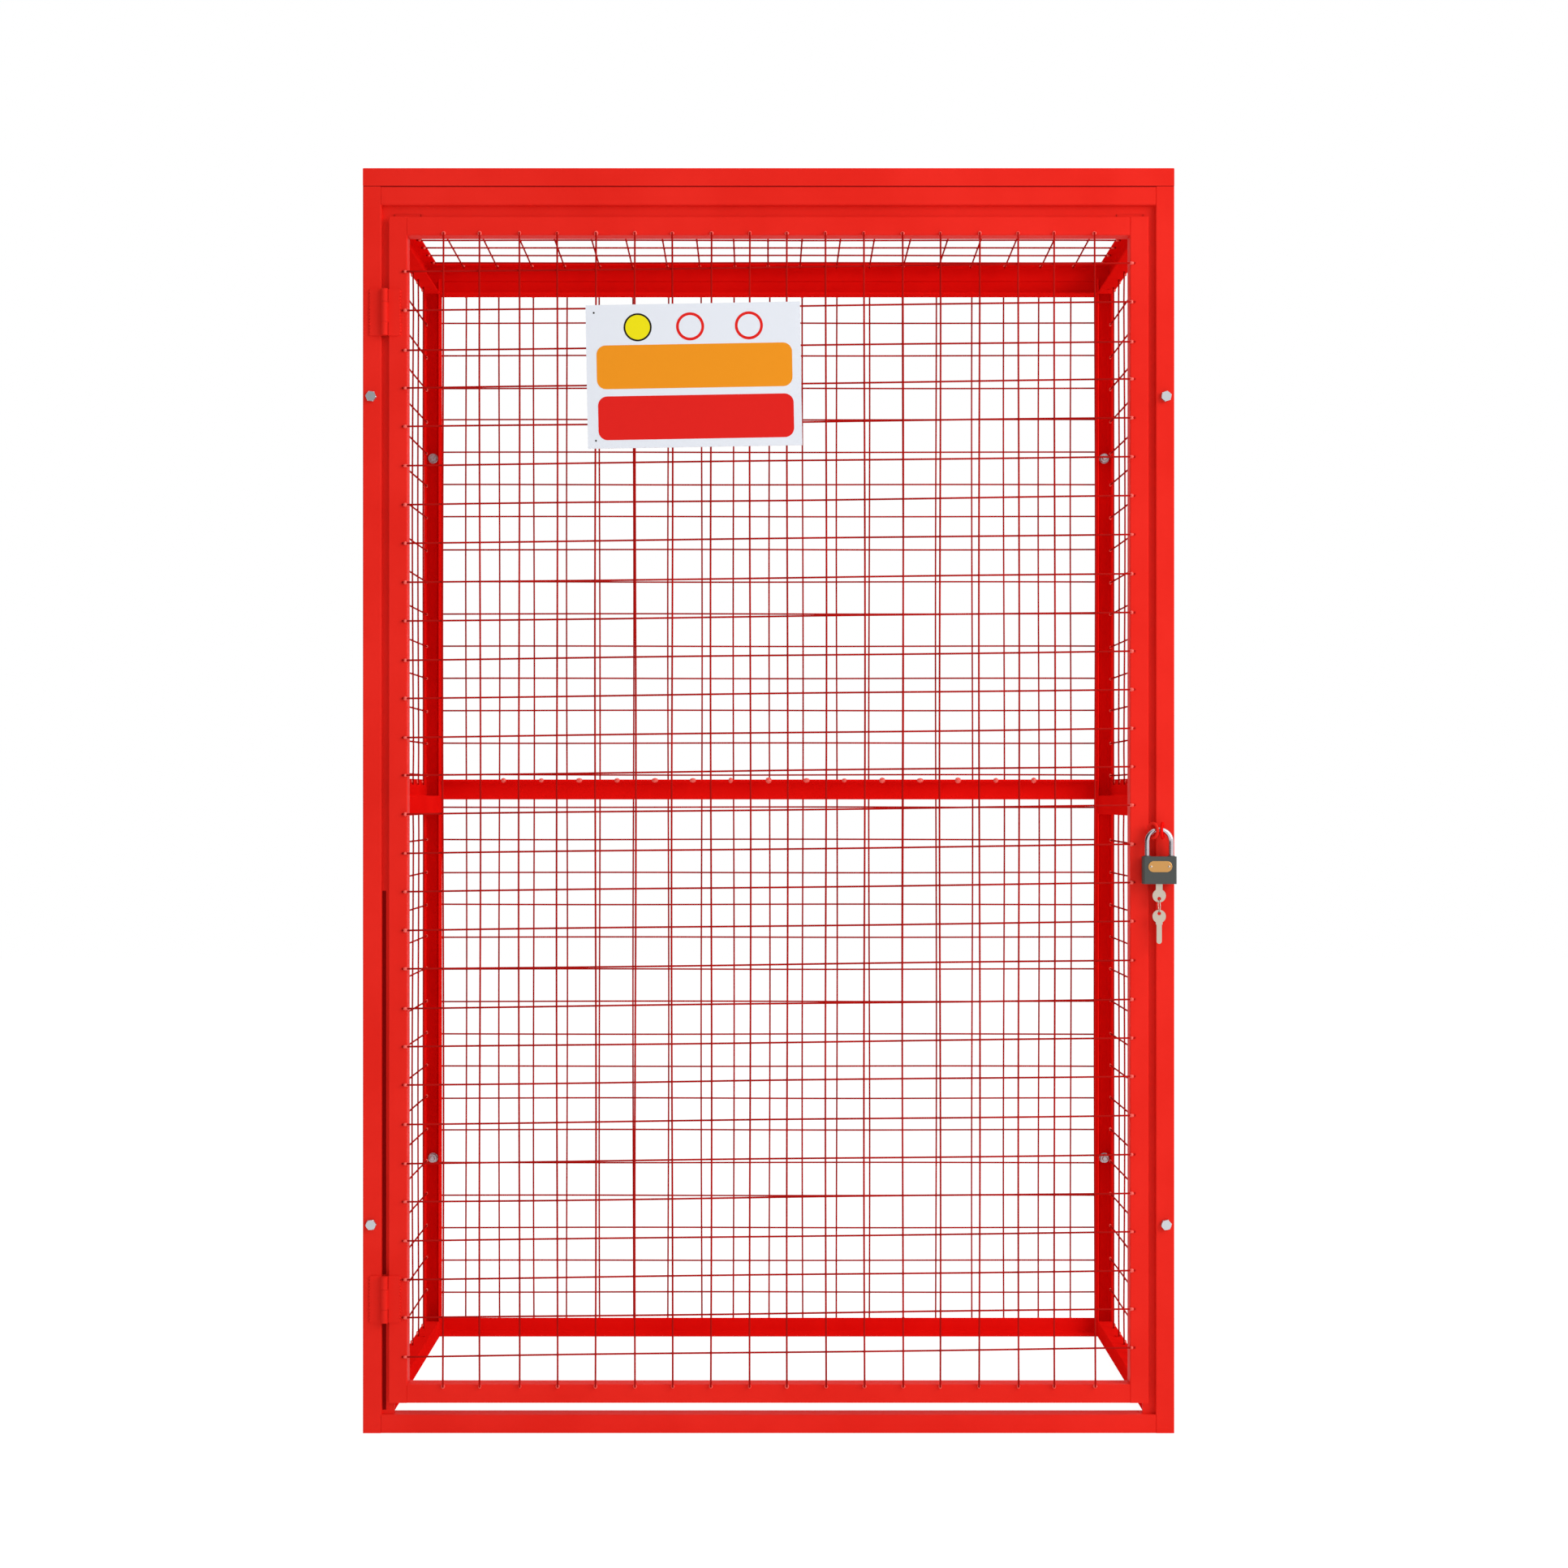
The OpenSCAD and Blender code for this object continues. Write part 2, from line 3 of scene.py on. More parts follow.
import bpy
import numpy as np
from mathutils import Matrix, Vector


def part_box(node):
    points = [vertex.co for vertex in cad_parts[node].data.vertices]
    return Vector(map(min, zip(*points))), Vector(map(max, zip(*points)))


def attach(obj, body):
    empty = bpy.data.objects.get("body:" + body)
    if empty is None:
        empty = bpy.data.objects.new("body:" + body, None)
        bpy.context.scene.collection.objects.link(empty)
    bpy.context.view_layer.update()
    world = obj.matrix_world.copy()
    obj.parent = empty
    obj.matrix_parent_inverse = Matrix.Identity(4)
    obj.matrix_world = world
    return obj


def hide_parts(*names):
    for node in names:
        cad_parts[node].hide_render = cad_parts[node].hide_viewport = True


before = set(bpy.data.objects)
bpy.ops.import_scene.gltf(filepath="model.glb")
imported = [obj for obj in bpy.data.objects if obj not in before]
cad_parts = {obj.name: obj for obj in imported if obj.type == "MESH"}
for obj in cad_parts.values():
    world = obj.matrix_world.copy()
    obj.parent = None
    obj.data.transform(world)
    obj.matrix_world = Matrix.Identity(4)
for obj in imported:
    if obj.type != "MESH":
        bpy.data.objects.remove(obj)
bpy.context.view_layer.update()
mm = 0.001
randomSource = np.random.default_rng(7)

# Sizes that a user may change, one dictionary per kind of piece, in metres unless named otherwise
steel = {"angleWidth": 25 * mm, "angleThickness": 3 * mm}
cage = {"halfWidth": 550 * mm, "frontY": -300 * mm, "backY": 300 * mm, "top": 1715 * mm,
        "roofSideWidth": 20 * mm}
wire = {"radius": 1.25 * mm, "sides": 8, "layerStep": 2.12 * mm, "lap": 7 * mm, "doorEndLap": 3 * mm,
        "shift": 1.1 * mm, "bow": 0.8 * mm, "bulge": 1.0 * mm}
weld = {"beadHalfLength": 3.1 * mm, "beadHalfWidth": 2.8 * mm, "beadHalfHeight": 2.0 * mm,
        "beadIn": 2.2 * mm, "nubRadius": 1.75 * mm, "nubDepth": 1.9 * mm,
        "dropPitch": 60.5 * mm, "dropCount": 15}
bolt = {"acrossFlats": 13 * mm, "headHeight": 5.3 * mm, "nutHeight": 6.5 * mm,
        "washerRadius": 8 * mm, "washerThickness": 1.4 * mm, "shankRadius": 4 * mm,
        "shankBeyond": 4 * mm, "inFromEdge": 11.5 * mm}
sign = {"turn": math.radians(1), "printThickness": 0.15 * mm,
        "bandHalfWidth": 132.3 * mm, "bandHalfHeight": 29.6 * mm, "bandCorner": 12.5 * mm,
        "orangeUp": 12.6 * mm, "redUp": -56.4 * mm, "discUp": 66 * mm,
        "discRadius": 19.0 * mm,
        "holeAcross": 134 * mm, "holeUp": 86.5 * mm, "holeRadius": 1.3 * mm}
hinge = {"weldX": 20 * mm, "halfLength": 29 * mm, "weldPitch": 4.4 * mm, "upperDrop": 196 * mm,
         "lowerHeight": 182 * mm, "axisX": -520 * mm}
seam = {"halfHeight": 1.1 * mm, "sunk": 0.12 * mm, "depth": 0.8 * mm}
padlock = {"labelHalfWidth": 16.1 * mm, "labelHalfHeight": 7.4 * mm, "labelUp": 5 * mm,
           "labelThickness": 0.5 * mm, "rivetAcross": 12 * mm, "rivetRadius": 1.6 * mm,
           "legAcross": 16.25 * mm, "legRadius": 3.25 * mm, "collarRadius": 1.0 * mm}


def linearColour(text, alpha=1.0):  # sRGB value below 0.04045 is divided by 12.92, else raised to 2.4
    parts = [int(text[i:i + 2], 16) / 255 for i in (1, 3, 5)]
    return [c / 12.92 if c <= 0.04045 else ((c + 0.055) / 1.055) ** 2.4 for c in parts] + [alpha]


def addNode(tree, kind, settings=None, links=None):  # node of a kind, its socket values and links by name
    node = tree.nodes.new(kind)
    for key, value in (settings or {}).items():
        if isinstance(key, int) or key in node.inputs:
            node.inputs[key].default_value = value
        else:
            setattr(node, key, value)
    for key, source in (links or {}).items():
        tree.links.new(source, node.inputs[key])
    return node


def newMaterial(name):  # empty node material with its output node
    material = bpy.data.materials.new(name)
    material.use_nodes = True
    material.node_tree.nodes.clear()
    output = material.node_tree.nodes.new("ShaderNodeOutputMaterial")
    return material, material.node_tree, output


def paintMaterial(name, colour, darker, roughness, speckleSize, bumpHeight, specular=0.0):
    # Two close colours mixed by broad noise, and a fine noise that raises the surface a little
    material, tree, output = newMaterial(name)
    place = addNode(tree, "ShaderNodeTexCoord")
    broad = addNode(tree, "ShaderNodeTexNoise", {"Scale": 9.0, "Detail": 3.0},
                    {"Vector": place.outputs["Object"]})
    ramp = addNode(tree, "ShaderNodeMapRange", {"From Min": 0.35, "From Max": 0.65},
                   {"Value": broad.outputs["Fac"]})
    mix = addNode(tree, "ShaderNodeMix", {"data_type": "RGBA"})
    tree.links.new(ramp.outputs["Result"], mix.inputs[0])
    mix.inputs[6].default_value = linearColour(colour)
    mix.inputs[7].default_value = linearColour(darker)
    fine = addNode(tree, "ShaderNodeTexNoise", {"Scale": 1 / speckleSize, "Detail": 2.0},
                   {"Vector": place.outputs["Object"]})
    bump = addNode(tree, "ShaderNodeBump", {"Strength": 0.25, "Distance": bumpHeight},
                   {"Height": fine.outputs["Fac"]})
    surface = addNode(tree, "ShaderNodeBsdfPrincipled",
                      {"Roughness": roughness, "Specular IOR Level": specular},
                      {"Base Color": mix.outputs[2], "Normal": bump.outputs["Normal"]})
    tree.links.new(surface.outputs["BSDF"], output.inputs["Surface"])
    return material


def plainMaterial(name, colour, roughness, metallic=0.0, bumpSize=0.0, bumpHeight=0.0, specular=0.5):
    # One colour, with an optional fine noise that raises the surface a little
    material, tree, output = newMaterial(name)
    surface = addNode(tree, "ShaderNodeBsdfPrincipled",
                      {"Base Color": linearColour(colour), "Roughness": roughness,
                       "Metallic": metallic, "Specular IOR Level": specular})
    if bumpHeight > 0:
        place = addNode(tree, "ShaderNodeTexCoord")
        fine = addNode(tree, "ShaderNodeTexNoise", {"Scale": 1 / bumpSize, "Detail": 3.0},
                       {"Vector": place.outputs["Object"]})
        bump = addNode(tree, "ShaderNodeBump", {"Strength": 0.4, "Distance": bumpHeight},
                       {"Height": fine.outputs["Fac"]})
        tree.links.new(bump.outputs["Normal"], surface.inputs["Normal"])
    tree.links.new(surface.outputs["BSDF"], output.inputs["Surface"])
    return material


print("stage: materials")
redEnamel = paintMaterial("red enamel, sprayed on rolled steel", "#F0140F", "#EA100C", 0.5,
                          2.2 * mm, 0.06 * mm)
# Copy of the red enamel, lighter and oranger with a little sheen, for the front pieces: painted light,
# where the lamp falls more on the front than on the rest
litFrontEnamel = paintMaterial("red enamel, painted lighter on the front as light", "#EE2A20", "#E8251B", 0.5,
                            2.2 * mm, 0.06 * mm, 0.04)
# The same red painted darker for the wires: painted shade for the shaded sides of the thin round wires
shadedWireEnamel = paintMaterial("red enamel on welded wire, painted darker as shade", "#B81915", "#A61411", 0.5,
                           1.5 * mm, 0.05 * mm)
# Weld beads take a lighter pink red: a painted highlight for the gloss that catches on the beads
weldHighlightEnamel = plainMaterial("red enamel over weld beads, painted lighter as a highlight", "#F55A4E", 0.3)
# Dark red for strips put in joints and gaps: painted shade
seamShadow = plainMaterial("red enamel, painted dark as shade in narrow joints", "#8A0605", 0.7, specular=0.05)
zincPlate = plainMaterial("zinc plate on hexagon bolts", "#C9CCD0", 0.35, 0.9)
signWhite = plainMaterial("white rigid PVC sheet, calendered", "#E9EDF5", 0.35, specular=0.2)
signOrange = plainMaterial("orange sign ink, screen printed", "#F2961C", 0.5, specular=0.1)
signRed = plainMaterial("red sign ink, screen printed", "#E4201A", 0.5, specular=0.1)
signYellow = plainMaterial("yellow sign ink, screen printed", "#F2E414", 0.5, specular=0.1)
signBlack = plainMaterial("black sign ink, screen printed", "#1E1A14", 0.5, specular=0.1)
lockEnamel = plainMaterial("dark grey enamel on pressed steel", "#3E423F", 0.55, 0.0,
                           0.8 * mm, 0.02 * mm)
brassPlate = plainMaterial("brass sheet, stamped and lacquered", "#C8965A", 0.36, 1.0)
hardChrome = plainMaterial("chrome plate on a hardened shackle", "#C4BEC4", 0.2, 1.0)
nickelPlate = plainMaterial("nickel plate on stamped keys", "#C6B9AA", 0.4, 1.0,
                            1.2 * mm, 0.03 * mm)

for name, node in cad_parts.items():
    if name == "sign_plate":
        chosen = signWhite
    elif name == "padlock_body":
        chosen = lockEnamel
    elif name == "padlock_shackle":
        chosen = hardChrome
    elif name in ("key_in_lock", "key_ring", "spare_key"):
        chosen = nickelPlate
    elif "mesh" in name:
        chosen = shadedWireEnamel
    # Front, hinge and door pieces take the copy of the red that is painted lighter as light
    elif "front" in name or "hinge" in name or name.startswith("door"):
        chosen = litFrontEnamel
    else:
        chosen = redEnamel
    node.data.materials.clear()
    node.data.materials.append(chosen)


def meshPiece(name, points, faces, material, body, smooth=True):
    # Mesh object from an array of points and a list or array of faces, riding a body
    data = bpy.data.meshes.new(name)
    data.from_pydata(np.asarray(points).tolist(), [], [list(map(int, f)) for f in faces])
    data.materials.append(material)
    data.polygons.foreach_set("use_smooth", [smooth] * len(data.polygons))
    data.update()
    piece = bpy.data.objects.new(name, data)
    bpy.context.collection.objects.link(piece)
    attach(piece, body)
    return piece


def joinArrays(parts):  # lists of (points, faces) made into one, with the faces' numbers moved on
    points, faces, count = [], [], 0
    for partPoints, partFaces in parts:
        points.append(np.asarray(partPoints))
        faces.extend([[i + count for i in face] for face in partFaces])
        count += len(partPoints)
    return np.concatenate(points), faces


def tube(path, acrossA, acrossB, radius, sides):
    # Ring of points about each place of the path: place + radius (cos t A + sin t B), ends closed
    turn = np.arange(sides) * 2 * math.pi / sides
    ring = np.cos(turn)[:, None] * acrossA + np.sin(turn)[:, None] * acrossB
    points = (path[:, None, :] + radius * ring[None, :, :]).reshape(-1, 3)
    faces = []
    for k in range(len(path) - 1):
        for s in range(sides):
            n = (s + 1) % sides
            faces.append([k * sides + s, k * sides + n, (k + 1) * sides + n, (k + 1) * sides + s])
    last = (len(path) - 1) * sides
    faces.append(list(range(sides - 1, -1, -1)))
    faces.append([last + s for s in range(sides)])
    return points, faces


def ellipsoid(centre, half, axes, columns=8, rows=4):
    # Points centre + half (sin p cos t, sin p sin t, cos p) along three axes, with closed poles
    points = [centre + axes[2] * half[2]]
    for r in range(1, rows):
        p = math.pi * r / rows
        for c in range(columns):
            t = 2 * math.pi * c / columns
            points.append(centre + axes[0] * half[0] * math.sin(p) * math.cos(t)
                          + axes[1] * half[1] * math.sin(p) * math.sin(t)
                          + axes[2] * half[2] * math.cos(p))
    points.append(centre - axes[2] * half[2])
    faces = [[0, 1 + c, 1 + (c + 1) % columns] for c in range(columns)]
    for r in range(rows - 2):
        for c in range(columns):
            a = 1 + r * columns
            n = (c + 1) % columns
            faces.append([a + c, a + columns + c, a + columns + n, a + n])
    end = len(points) - 1
    a = 1 + (rows - 2) * columns
    faces += [[end, a + (c + 1) % columns, a + c] for c in range(columns)]
    return np.array(points), faces


def bead(centre, axes, scale=1.0):  # uneven drop of weld metal, longest along the first axis
    size = scale * randomSource.uniform(0.75, 1.15, 3)
    half = [weld["beadHalfLength"] * size[0], weld["beadHalfWidth"] * size[1],
            weld["beadHalfHeight"] * size[2]]
    return ellipsoid(centre, half, axes)


def block(low, high):  # box between two corners
    points = [[x, y, z] for x in (low[0], high[0]) for y in (low[1], high[1]) for z in (low[2], high[2])]
    faces = [[0, 1, 3, 2], [4, 6, 7, 5], [0, 4, 5, 1], [2, 3, 7, 6], [0, 2, 6, 4], [1, 5, 7, 3]]
    return np.array(points, float), faces


def wireField(name, body, origin, across, up, outward, rows, columns, rowSpan, columnSpan, rise=0.0,
              columnLap=wire["lap"]):
    # Level wires lie next to the frame and upright wires on top of them; a shared bulge moves both
    across, up, outward = (np.array(v, float) for v in (across, up, outward))
    origin = np.array(origin, float)
    rowShift = randomSource.normal(0, wire["shift"] * 0.5, len(rows))
    columnShift = randomSource.normal(0, wire["shift"], len(columns))
    rowPhase = randomSource.uniform(0, 2 * math.pi, len(rows))
    columnPhase = randomSource.uniform(0, 2 * math.pi, len(columns))
    middle = sum(rowSpan) / 2
    parts = []

    def bulge(a, b):  # slow wave over the field, zero at its edges
        edgeA = np.clip(np.minimum(a - rowSpan[0], rowSpan[1] - a) / 0.05, 0, 1)
        edgeB = np.clip(np.minimum(b - columnSpan[0], columnSpan[1] - b) / 0.05, 0, 1)
        return wire["bulge"] * np.sin(a * 9 + 1) * np.sin(b * 7 + 2) * edgeA * edgeB

    def rowPlace(j, a):
        return (rows[j] + rowShift[j] + math.tan(rise) * (a - middle)
                + wire["bow"] * 0.5 * np.sin(a * 8 + rowPhase[j]))

    def columnPlace(i, b):
        return columns[i] + columnShift[i] + wire["bow"] * np.sin(b * 5 + columnPhase[i])

    for j in range(len(rows)):
        a = np.linspace(rowSpan[0], rowSpan[1], 28)
        b = rowPlace(j, a)
        h = wire["radius"] + bulge(a, b)
        path = origin + a[:, None] * across + b[:, None] * up + h[:, None] * outward
        parts.append(tube(path, up, outward, wire["radius"], wire["sides"]))
    for i in range(len(columns)):
        b = np.linspace(columnSpan[0], columnSpan[1], 32)
        a = columnPlace(i, b)
        h = wire["radius"] + wire["layerStep"] + bulge(a, b)
        path = origin + a[:, None] * across + b[:, None] * up + h[:, None] * outward
        parts.append(tube(path, across, outward, wire["radius"], wire["sides"]))
    for j in range(len(rows)):
        for i in range(len(columns)):
            a = columnPlace(i, rows[j])
            b = rowPlace(j, a)
            h = wire["radius"] + wire["layerStep"] / 2 + bulge(a, b)
            centre = origin + a * across + b * up + h * outward
            half = [weld["nubRadius"], weld["nubRadius"], weld["nubDepth"]]
            parts.append(ellipsoid(centre, half, (across, up, outward)))
    beads = []
    for j in range(len(rows)):
        for a in (rowSpan[0] + wire["lap"] - weld["beadIn"], rowSpan[1] - wire["lap"] + weld["beadIn"]):
            centre = origin + a * across + rowPlace(j, a) * up + wire["radius"] * outward
            beads.append(bead(centre, (across, up, outward)))
    for i in range(len(columns)):
        for b in (columnSpan[0] + columnLap - weld["beadIn"],
                  columnSpan[1] - columnLap + weld["beadIn"]):
            centre = origin + columnPlace(i, b) * across + b * up + wire["radius"] * 1.3 * outward
            beads.append(bead(centre, (up, across, outward)))
    points, faces = joinArrays(beads)
    meshPiece(name + "_welds", points, faces, weldHighlightEnamel, body)
    points, faces = joinArrays(parts)
    return meshPiece(name, points, faces, shadedWireEnamel, body)


def evenPlaces(low, high, margin, pitch):  # equal steps between two edges, a margin away from each
    steps = round((high - low - 2 * margin) / pitch)
    return np.linspace(low + margin, high - margin, steps + 1)


print("stage: wire mesh")
angle = steel["angleWidth"]
openHalf = cage["halfWidth"] - angle
headerTop = cage["top"] - angle
railBottom = headerTop - angle
door = {"halfWidth": openHalf - 10 * mm, "bottom": angle + 16 * mm, "top": railBottom - 16 * mm}
innerHalf = door["halfWidth"] - angle
lap = wire["lap"]
endLap = wire["doorEndLap"]
doorRows = evenPlaces(door["bottom"] + angle, door["top"] - angle, 44 * mm, 52 * mm)
doorColumns = evenPlaces(-innerHalf, innerHalf, 49 * mm, 52 * mm)
wireField("door_wires", "door", (0, cage["frontY"], 0), (1, 0, 0), (0, 0, 1), (0, -1, 0),
          doorRows, doorColumns, (-innerHalf - lap, innerHalf + lap),
          (door["bottom"] + angle - endLap, door["top"] - angle + endLap), math.radians(0.7), endLap)
backRows = evenPlaces(angle, railBottom, 41 * mm, 52 * mm)
backColumns = evenPlaces(-openHalf, openHalf, 38 * mm, 54 * mm)
wireField("back_wires", "cage", (0, cage["backY"], 0), (1, 0, 0), (0, 0, 1), (0, 1, 0),
          backRows, backColumns, (-openHalf - lap, openHalf + lap), (angle - lap, railBottom + lap))
sideEnd = cage["backY"] - steel["angleThickness"] - angle
sideRows = evenPlaces(angle, railBottom, 50 * mm, 52 * mm)
sideColumns = evenPlaces(-sideEnd, sideEnd, 48 * mm, 54 * mm)
webZ = 861 * mm
sideX = cage["halfWidth"] - steel["angleThickness"]
for side, word in ((-1, "left"), (1, "right")):
    wireField(word + "_wires_upper", "cage", (side * sideX, 0, 0), (0, 1, 0), (0, 0, 1),
              (-side, 0, 0), sideRows[sideRows > webZ], sideColumns,
              (-sideEnd - lap, sideEnd + lap), (webZ + 20 * mm, railBottom))
    wireField(word + "_wires_lower", "cage", (side * sideX, 0, 0), (0, 1, 0), (0, 0, 1),
              (-side, 0, 0), sideRows[sideRows < webZ], sideColumns,
              (-sideEnd - lap, sideEnd + lap), (angle, webZ))
roofEnd = cage["backY"] - angle
roofHalf = cage["halfWidth"] - cage["roofSideWidth"]
roofRows = evenPlaces(-roofEnd, roofEnd, 20 * mm, 52 * mm)
wireField("roof_wires", "cage", (0, 0, cage["top"] - steel["angleThickness"]), (1, 0, 0),
          (0, 1, 0), (0, 0, -1), roofRows, backColumns, (-roofHalf - lap, roofHalf + lap),
          (-roofEnd - lap, roofEnd + lap))
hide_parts("door_mesh_upper", "door_mesh_lower")
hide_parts("back_mesh_upper", "back_mesh_lower")
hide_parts("roof_mesh")
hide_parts("left_mesh")
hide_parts("right_mesh")

print("stage: weld beads and seams")
axisX, axisY, axisZ = np.eye(3)
drops = []
for k in range(weld["dropCount"]):
    x = (k - (weld["dropCount"] - 1) / 2) * weld["dropPitch"]
    place = np.array([x, cage["backY"] - angle - 0.2 * mm, 888.6 * mm])
    drops.append(bead(place, (axisX, axisZ, axisY), 1.6))
points, faces = joinArrays(drops)
meshPiece("mid_rail_welds", points, faces, weldHighlightEnamel, "cage")
for side, body in ((-1, "cage"), (1, "door")):
    beads = []
    for height in (cage["top"] - hinge["upperDrop"], hinge["lowerHeight"]):
        for z in np.arange(-hinge["halfLength"], hinge["halfLength"] + 1e-6, hinge["weldPitch"]):
            place = np.array([hinge["axisX"] + side * hinge["weldX"], cage["frontY"] - 0.5 * mm,
                              height + z])
            beads.append(bead(place, (axisZ, axisX, axisY), 0.85))
    points, faces = joinArrays(beads)
    meshPiece("hinge_welds_" + body, points, faces, litFrontEnamel, body)

halfWidth, halfDepth = cage["halfWidth"], cage["backY"]
low, high = headerTop - seam["halfHeight"], headerTop + seam["halfHeight"]
stopY = cage["frontY"] + 8 * mm
# Dark strips in the shade enamel are painted shade: along the seam round the top at the header, in slots of
# the stop strips, in the deep stretches of the hinge side's gap and under the upper hinge's leaves
strips = []
lips = []  # thin lips that close the view past the notches of the header's strip
for side in (-1, 1):
    outer, inner = sorted((side * (halfDepth - seam["sunk"]), side * (halfDepth - seam["depth"])))
    strips.append(block((-halfWidth + seam["depth"], outer, low), (halfWidth - seam["depth"], inner, high)))
    outer, inner = sorted((side * (halfWidth - seam["sunk"]), side * (halfWidth - seam["depth"])))
    strips.append(block((outer, -halfDepth + seam["depth"], low), (inner, halfDepth - seam["depth"], high)))
    lipX = sorted((side * 472 * mm, side * 509 * mm))
    lips.append(block((lipX[0], stopY, 1650.6 * mm), (lipX[1], stopY + 3 * mm, 1654.2 * mm)))
    slotX = sorted((side * 509.5 * mm, side * 516 * mm))
    strips.append(block((slotX[0], stopY - 0.15 * mm, 858 * mm), (slotX[1], stopY + 0.5 * mm, 887 * mm)))
for bottom, top in ((30 * mm, 150 * mm), (214 * mm, 735 * mm)):  # painted shade in the deep stretches of the hinge side's gap
    strips.append(block((-524.6 * mm, stopY - 0.15 * mm, bottom), (-519.6 * mm, stopY + 0.5 * mm, top)))
# Painted shade under the upper hinge's leaves, on the post and on the door
leafFoot = cage["top"] - hinge["upperDrop"] - hinge["halfLength"] - 1 * mm
front = cage["frontY"]
strips.append(block((-540 * mm, front - 0.15 * mm, leafFoot - 1.1 * mm),
                    (-527 * mm, front + 0.5 * mm, leafFoot)))
points, faces = block((-513 * mm, front - 0.15 * mm, leafFoot - 1.1 * mm),
                      (-501 * mm, front + 0.5 * mm, leafFoot))
meshPiece("leaf_shadow_door", points, faces, seamShadow, "door", smooth=False)
points, faces = joinArrays(strips)
meshPiece("joint_shadows", points, faces, seamShadow, "cage", smooth=False)
points, faces = joinArrays(lips)
meshPiece("header_stop_lips", points, faces, litFrontEnamel, "cage", smooth=False)

print("stage: bolts")


def hexagonRing(radius, height, sides, limit):
    # Flat radius over the cosine of the angle from the nearest flat, cut off at a limit
    turn = np.arange(sides) * 2 * math.pi / sides
    fromFlat = (turn % (math.pi / 3)) - math.pi / 6
    reach = np.minimum(radius / np.cos(fromFlat), limit)
    return np.stack([reach * np.cos(turn), reach * np.sin(turn), np.full(sides, height)], 1)


def roundRing(radius, height, sides):  # circle of points at a height
    turn = np.arange(sides) * 2 * math.pi / sides
    return np.stack([radius * np.cos(turn), radius * np.sin(turn), np.full(sides, height)], 1)


def stackRings(rings):  # rings joined from the first to the last, closed at both ends
    sides = len(rings[0])
    faces = [list(range(sides - 1, -1, -1))]
    for k in range(len(rings) - 1):
        for s in range(sides):
            n = (s + 1) % sides
            faces.append([k * sides + s, k * sides + n, (k + 1) * sides + n, (k + 1) * sides + s])
    faces.append([(len(rings) - 1) * sides + s for s in range(sides)])
    return np.concatenate(rings), faces


def boltParts(place, outward, turn, steelDepth):
    # Chamfered head outside, and washer, nut and shank end inside the steel
    outward = np.array(outward, float)
    across = np.array([0, 0, 1.0]) if abs(outward[2]) < 0.5 else np.array([1.0, 0, 0])
    third = np.cross(outward, across)
    flat = bolt["acrossFlats"] / 2
    corner = flat / math.cos(math.pi / 6)
    t = bolt["washerThickness"]
    sides = 36

    def lay(part):
        points, faces = part
        c, s = math.cos(turn), math.sin(turn)
        x = points[:, 0] * c - points[:, 1] * s
        y = points[:, 0] * s + points[:, 1] * c
        placed = (np.array(place) + x[:, None] * across + y[:, None] * third
                  + points[:, 2:3] * outward)
        return placed, faces

    head = stackRings([hexagonRing(flat, 0, sides, corner),
                       hexagonRing(flat, bolt["headHeight"] * 0.86, sides, corner),
                       hexagonRing(flat, bolt["headHeight"], sides, flat * 1.01)])
    inner = -steelDepth
    nut = stackRings([hexagonRing(flat, inner - t - bolt["nutHeight"], sides, flat * 1.01),
                      hexagonRing(flat, inner - t - bolt["nutHeight"] * 0.86, sides, corner),
                      hexagonRing(flat, inner - t, sides, corner)])
    washer = stackRings([roundRing(bolt["washerRadius"], inner - t, sides),
                         roundRing(bolt["washerRadius"], inner, sides)])
    end = inner - t - bolt["nutHeight"] - bolt["shankBeyond"]
    shank = stackRings([roundRing(bolt["shankRadius"] * 0.8, end, sides),
                        roundRing(bolt["shankRadius"], end + 0.8 * mm, sides),
                        roundRing(bolt["shankRadius"], 0, sides)])
    return [lay(head), lay(nut), lay(washer), lay(shank)]


boltX = cage["halfWidth"] - bolt["inFromEdge"]
postBolts = []
for side in (-1, 1):
    for height in (1405 * mm, 283 * mm):
        turn = randomSource.uniform(0, math.pi / 3)
        postBolts += boltParts((side * boltX, cage["frontY"], height), (0, -1, 0), turn, 6 * mm)
        turn = randomSource.uniform(0, math.pi / 3)
        postBolts += boltParts((side * boltX, cage["backY"], height), (0, 1, 0), turn, 6 * mm)
points, faces = joinArrays(postBolts)
meshPiece("panel_bolts", points, faces, zincPlate, "cage", smooth=False)

print("stage: sign")


def roundedOutline(halfWidth, halfHeight, corner, steps=8):
    # Four arcs about the corner centres, counted round from the right
    outline = []
    for k, (sx, sz) in enumerate(((1, 1), (-1, 1), (-1, -1), (1, -1))):
        for s in range(steps + 1):
            a = math.pi / 2 * (k + s / steps)
            outline.append([sx * (halfWidth - corner) + corner * math.cos(a),
                            sz * (halfHeight - corner) + corner * math.sin(a)])
    return np.array(outline)


def signPrint(name, outline, centre, material, lift):
    # Flat print: the outline on two levels in front of the plate, turned with the sign
    lowest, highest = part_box("sign_plate")
    middle = (np.array(lowest) + np.array(highest)) / 2
    local = outline + np.array(centre)
    c, s = math.cos(sign["turn"]), math.sin(sign["turn"])
    x = middle[0] + local[:, 0] * c - local[:, 1] * s
    z = middle[2] + local[:, 0] * s + local[:, 1] * c
    front = lowest[1] - lift
    count = len(outline)
    points = np.concatenate([np.stack([x, np.full(count, front), z], 1),
                             np.stack([x, np.full(count, lowest[1] + 0.05 * mm), z], 1)])
    faces = [list(range(count)), list(range(2 * count - 1, count - 1, -1))]
    for k in range(count):
        n = (k + 1) % count
        faces.append([k, k + count, n + count, n])
    return meshPiece(name, points, faces, material, "door", smooth=False)


def circleOutline(radius, steps=48):  # even points on a circle
    turn = np.arange(steps) * 2 * math.pi / steps
    return np.stack([radius * np.cos(turn), radius * np.sin(turn)], 1)


